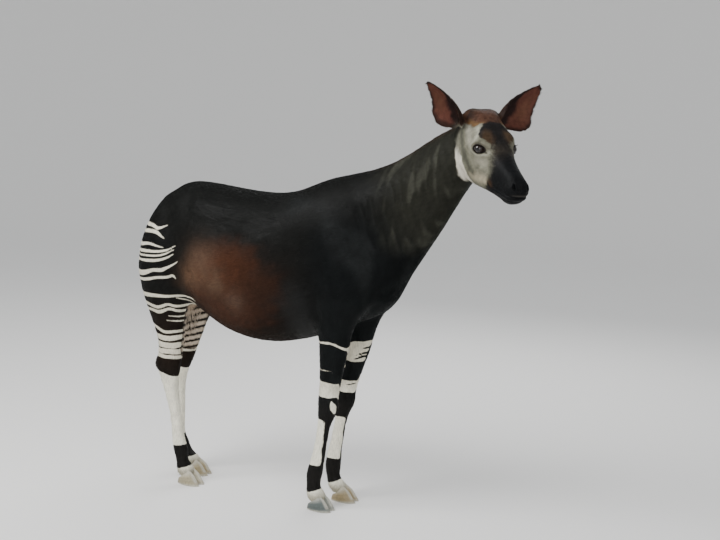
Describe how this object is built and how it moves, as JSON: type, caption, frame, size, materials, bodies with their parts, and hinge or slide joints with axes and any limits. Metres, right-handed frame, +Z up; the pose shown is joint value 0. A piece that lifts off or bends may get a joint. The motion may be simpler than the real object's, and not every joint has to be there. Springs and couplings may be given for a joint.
{
  "type": "life-size okapi figure",
  "caption": "Still, life-size figure of a hornless okapi cow, standing square with its head turned to its right, with striped haunches and large ears.",
  "frame": {"origin": "middle of the bounding box at floor level, under the soles of the hooves", "axes": "+X from tail to chest, +Y to the animal's left, +Z up from the floor"},
  "size_m": [1.9672, 0.6311, 1.9342],
  "materials": {
    "dark_coat": "short, smooth, near black brown coat with a soft sheen",
    "striped_coat": "short coat, near black brown with white cross stripes",
    "white_coat": "short creamy white coat with dark bands at the joints",
    "face_coat": "very short coat, pale grey cheeks, black muzzle, red brown crown",
    "ear_skin": "thin haired skin, brick brown inside, dark outside",
    "eye_surface": "wet, glossy, dark brown to black",
    "hoof_horn": "dull horn, tan brown to slate grey"
  },
  "bodies": {
    "root": {"ear_left": "ear_skin", "ear_right": "ear_skin", "eye_left": "eye_surface", "eye_right": "eye_surface", "fore_cannon_left": "white_coat", "fore_cannon_right": "white_coat", "fore_claw_inner_left": "hoof_horn", "fore_claw_inner_right": "hoof_horn", "fore_claw_outer_left": "hoof_horn", "fore_claw_outer_right": "hoof_horn", "fore_leg_left": "striped_coat", "fore_leg_right": "striped_coat", "head": "face_coat", "hind_cannon_left": "white_coat", "hind_cannon_right": "white_coat", "hind_claw_inner_left": "hoof_horn", "hind_claw_inner_right": "hoof_horn", "hind_claw_outer_left": "hoof_horn", "hind_claw_outer_right": "hoof_horn", "hind_leg_left": "striped_coat", "hind_leg_right": "striped_coat", "lower_jaw": "face_coat", "neck": "dark_coat", "tail": "dark_coat", "trunk": "dark_coat"}
  },
  "joints": []
}
